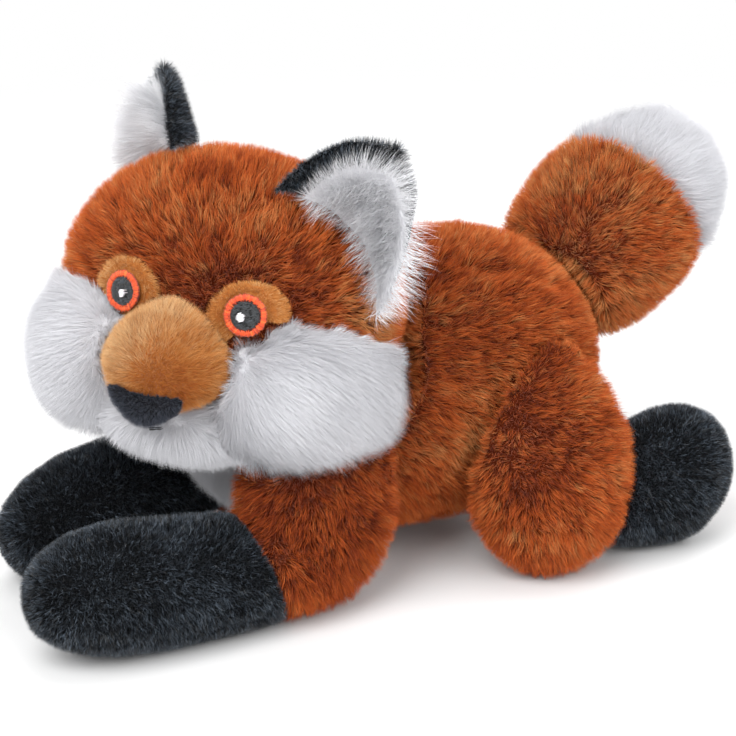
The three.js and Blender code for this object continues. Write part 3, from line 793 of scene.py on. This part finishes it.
def thread_material(name, *tints):
    """Thread with painted shade: darker at a stitch's ends, where it dives into the ground."""
    material, tree, shader = new_material(name)
    set_inputs(tree, shader, {
        "Base Color": strand_colour(tree, tints, [(0.0, 150), (0.2, 255), (0.8, 255), (1.0, 150)]),
        "Roughness": 0.42,
        "Specular IOR Level": 0.5,
        "Sheen Weight": 0.25,
    })
    return material


def plane_of(node):
    """A thin piece's middle, the way that it faces, and its right and up."""
    points = points_of(nodes[node])
    middle = (points.min(0) + points.max(0)) / 2
    _, _, axes = np.linalg.svd(points - points.mean(0), full_matrices=False)
    facing = axes[2] * np.sign(axes[2] @ (middle - centre_of("head")))
    right = unit(np.cross(UP, facing))
    return middle, facing, right, np.cross(facing, right)


def laid_stitch(start, end, plane, tree, crown):
    """The middle line of one stitch, arched over the ground, or nothing off its edge."""
    middle, facing, right, up = plane
    line = []
    for step in range(STITCH_STEPS):
        share = step / (STITCH_STEPS - 1)
        u, v = start + (end - start) * share
        place = Vector(middle + right * u + up * v + facing * LAYING_HEIGHT)
        hit = tree.ray_cast(place, Vector(-facing), 2 * LAYING_HEIGHT)
        if hit[0] is not None:
            arch = 4 * share * (1 - share) - THREAD_DIP
            line.append(np.array(hit[0]) + facing * crown * arch)
    if len(line) < LEAST_STEPS:
        return None
    return np.array([line[step * len(line) // STITCH_STEPS] for step in range(STITCH_STEPS)])


def thread_points(node, ground, starts, ends, crown):
    """Stitches between places in a thin piece's plane, laid on the ground: rings of tube points."""
    plane = plane_of(node)
    facing = plane[1]
    tree, _ = tree_of([nodes[name] for name in ground])
    stitches = []
    for start, end in zip(starts, ends):
        line = laid_stitch(start, end, plane, tree, crown)
        if line is None:
            continue
        side = unit(np.cross(facing, unit(line[-1] - line[0])))
        rings = []
        for step, centre in enumerate(line):
            share = step / (STITCH_STEPS - 1)
            thick = THREAD_WIDTH / 2 * (1 - THREAD_TAPER * abs(2 * share - 1) ** 3)
            for corner in range(STITCH_SIDES):
                angle = math.tau * corner / STITCH_SIDES
                rings.append(centre + side * math.cos(angle) * thick
                             + facing * math.sin(angle) * thick * THREAD_FLATNESS)
        stitches.append(rings)
    return np.array(stitches)


def thread_mesh(name, points, rng):
    """Closed tubes through the rings of points, each with a tint of its own."""
    count, per = points.shape[:2]
    sides = STITCH_SIDES
    quads = np.array([[ring * sides + side, ring * sides + (side + 1) % sides,
                       (ring + 1) * sides + (side + 1) % sides, (ring + 1) * sides + side]
                      for ring in range(STITCH_STEPS - 1) for side in range(sides)])
    caps = np.array([list(range(sides))[::-1], list(range(per - sides, per))])
    first = (np.arange(count) * per)[:, None, None]
    faces = [(first + quads[None]).reshape(-1, 4), (first + caps[None]).reshape(-1, sides)]
    mesh = mesh_from(name, points.reshape(-1, 3), faces)
    uv = np.empty((count, STITCH_STEPS, sides, 2))
    tint = (0.5 + rng.normal(0, THREAD_TINT, count)).clip(0.05, 0.95)
    uv[..., 0] = tint[:, None, None] + np.linspace(-0.03, 0.03, sides)[None, None, :]
    uv[..., 1] = np.linspace(UV_MARGIN, 1 - UV_MARGIN, STITCH_STEPS)[None, :, None]
    set_fibre_uv(mesh, uv.reshape(-1, 2))
    return mesh


def stitched(name, node, stitches, material, rng,
             ground=(), crown=THREAD_CROWN, based=True):
    """Stitches in place of a CAD node, over the node and the rest of the ground."""
    points = thread_points(node, (node, *ground), *stitches, crown)
    obj = link(name, thread_mesh(name, points, rng))
    obj.data.materials.append(material)
    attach(obj, "head")
    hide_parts(node)
    if based:
        base = even_form(node, node + "_base", **BASE_FORM)
        middle, facing, _, _ = plane_of(node)
        low = middle + (points_of(base) - middle) * BASE_SHARE - facing * BASE_SINK
        base.data.vertices.foreach_set("co", (low * MM).ravel())
        base.data.materials.append(material)
        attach(base, "head")


def ring_stitches(outer, inner, ragged, rng):
    """Satin stitches that run outwards all round a ring."""
    count = RING_STITCHES
    angles = (np.arange(count) + rng.uniform(-0.15, 0.15, count)) / count * math.tau
    way = np.stack([np.cos(angles), np.sin(angles)], 1)
    return (way * (inner - rng.uniform(0, ragged, (count, 1))),
            way * (outer + rng.uniform(-0.4, 1.0, (count, 1)) * ragged))


def disc_stitches(width, height, pitch, stitch, ragged, slant, rng):
    """Rows of stitches that fill an ellipse, end to end."""
    starts, ends = [], []
    turn = np.array([[math.cos(slant), -math.sin(slant)], [math.sin(slant), math.cos(slant)]])
    for row in np.arange(-height / 2 + pitch / 2, height / 2, pitch):
        half = width / 2 * math.sqrt(max(0.0, 1 - (2 * row / height) ** 2))
        place = -half - rng.uniform(0, ragged)
        last = half + rng.uniform(0, ragged)
        step = stitch * rng.uniform(0.5, 1.0)
        while place < last - LEAST_STITCH:
            end = min(place + step, last)
            wobble = rng.uniform(-STITCH_WOBBLE, STITCH_WOBBLE)
            starts.append(turn @ (place, row))
            ends.append(turn @ (end + STITCH_LAP, row + wobble))
            place, step = end, stitch
    return np.array(starts), np.array(ends)


def width_of(node):
    """A thin piece's width and height in its plane."""
    _, _, right, up = plane_of(node)
    points = points_of(nodes[node])
    return np.ptp(points @ right), np.ptp(points @ up)


def stitch_face():
    """The eyes' rings, pupils and highlights, and the mouth."""
    orange = thread_material("orange_thread", (158, 36, 8), (224, 76, 14), (246, 122, 44))
    dark = thread_material("dark_thread", (12, 14, 17), (28, 32, 36), (60, 68, 76))
    white = thread_material("white_thread", (196, 196, 204), (232, 232, 238), (250, 250, 252))
    rng = np.random.default_rng(7)
    for word in ("left", "right"):
        ring = max(width_of("eye_ring_" + word)) / 2 - RING_TRIM
        pupil = max(width_of("pupil_" + word)) / 2 - PUPIL_TRIM
        glint = max(width_of("eye_highlight_" + word)) * HIGHLIGHT_SHARE
        stitched(f"eye_ring_{word}_stitches", "eye_ring_" + word,
                 ring_stitches(ring, pupil, 0.25, rng),
                 orange, rng, ground=("pupil_" + word,))
        stitched(f"pupil_{word}_stitches", "pupil_" + word,
                 disc_stitches(2 * pupil, 2 * pupil, 0.32, 2.6, 0.15, 0.35, rng),
                 dark, rng)
        stitched(f"eye_highlight_{word}_stitches", "eye_highlight_" + word,
                 disc_stitches(glint, glint * 1.15, 0.3, 3.0, 0.4, 0.2, rng),
                 white, rng,
                 ground=("pupil_" + word,), crown=HIGHLIGHT_CROWN, based=False)
    wide, _ = width_of("mouth_stitch")
    stitched("mouth_stitches", "mouth_stitch",
             disc_stitches(wide, 0.8, 0.4, 2.4, 0.3, 0.15, rng),
             dark, rng, ground=("chin",), based=False)


# Studio
def seen_directly(tree):
    """1 for what the camera sees, also in a reflection or through glass."""
    rays = add_node(tree, "ShaderNodeLightPath").outputs
    seen = rays["Is Camera Ray"]
    for kind in ("Is Glossy Ray", "Is Transmission Ray"):
        seen = add_node(tree, "ShaderNodeMath", {0: seen, 1: rays[kind]},
                        operation="ADD", use_clamp=True).outputs["Value"]
    return seen


def mix_into(tree, factor, first, second, output):
    """Shows the second shader instead of the first by a factor."""
    mix = add_node(tree, "ShaderNodeMixShader", {0: factor, 1: first, 2: second})
    set_inputs(tree, tree.nodes[output], {"Surface": mix.outputs["Shader"]})


def fade_to_white(tree, shader):
    """The floor is plain white where it is far from the toy and its shadow."""
    place = add_node(tree, "ShaderNodeTexCoord")
    away = add_node(tree, "ShaderNodeVectorMath", {0: place.outputs["Object"]}, operation="LENGTH")
    near, far = FLOOR_FADE
    fade = add_node(tree, "ShaderNodeMapRange",
                    {"Value": away.outputs["Value"], "From Min": near, "From Max": far},
                    interpolation_type="SMOOTHSTEP")
    share = add_node(tree, "ShaderNodeMath", {0: fade.outputs["Result"], 1: seen_directly(tree)},
                     operation="MULTIPLY")
    white = add_node(tree, "ShaderNodeEmission", {"Color": (1, 1, 1, 1), "Strength": 1.0})
    mix_into(tree, share.outputs["Value"], shader.outputs["BSDF"], white.outputs["Emission"],
             "Material Output")


def white_world():
    """Soft light from all round, which is plain white where it is seen."""
    world = bpy.data.worlds.new("studio")
    bpy.context.scene.world = world
    world.use_nodes = True
    tree = world.node_tree
    sky = tree.nodes["Background"]
    set_inputs(tree, sky, {"Color": (1, 1, 1, 1), "Strength": SKY_STRENGTH})
    white = add_node(tree, "ShaderNodeBackground", {"Color": (1, 1, 1, 1), "Strength": 1.0})
    mix_into(tree, seen_directly(tree), sky.outputs[0], white.outputs[0], "World Output")


def pale_floor():
    corners = np.array([[-1, -1, 0], [1, -1, 0], [1, 1, 0], [-1, 1, 0]]) * FLOOR_SIZE / 2 / MM
    floor = link("floor", mesh_from("floor", corners, [np.array([[0, 1, 2, 3]])], smooth=False))
    material, tree, shader = new_material("pale_floor")
    grain = add_node(tree, "ShaderNodeTexNoise", {"Scale": 60.0, "Detail": 3.0})
    set_inputs(tree, shader, {
        "Base Color": ramp(tree, grain.outputs["Fac"],
                           [(0.3, (244, 244, 244)), (0.7, (250, 250, 250))]),
        "Roughness": 0.9,
        "Specular IOR Level": 0.1,
    })
    fade_to_white(tree, shader)
    floor.data.materials.append(material)


def add_lamp(name, place, size, power):
    """A round soft lamp that points at the origin."""
    light = bpy.data.lights.new(name, "AREA")
    light.shape = "DISK"
    light.size = size
    light.energy = power
    lamp = link(name, light)
    lamp.location = place
    lamp.rotation_euler = (-Vector(place)).to_track_quat("-Z", "Y").to_euler()


def camera():
    data = bpy.data.cameras.new("camera")
    data.lens = CAMERA_LENS
    data.sensor_width = CAMERA_SENSOR
    data.clip_start = 0.05
    eye = link("camera", data)
    azimuth, elevation = math.radians(CAMERA_AZIMUTH), math.radians(CAMERA_ELEVATION)
    level = math.cos(elevation)
    back = Vector((math.sin(azimuth) * level, -math.cos(azimuth) * level, math.sin(elevation)))
    eye.location = (Vector(CAMERA_TARGET) + back * CAMERA_DISTANCE) * MM
    eye.rotation_euler = back.to_track_quat("Z", "Y").to_euler()
    bpy.context.scene.camera = eye


camera()
white_world()
pale_floor()
for lamp_name, lamp in LAMPS.items():
    add_lamp(lamp_name, *lamp)
bpy.context.scene.view_settings.view_transform = "Standard"
dress()
stitch_face()
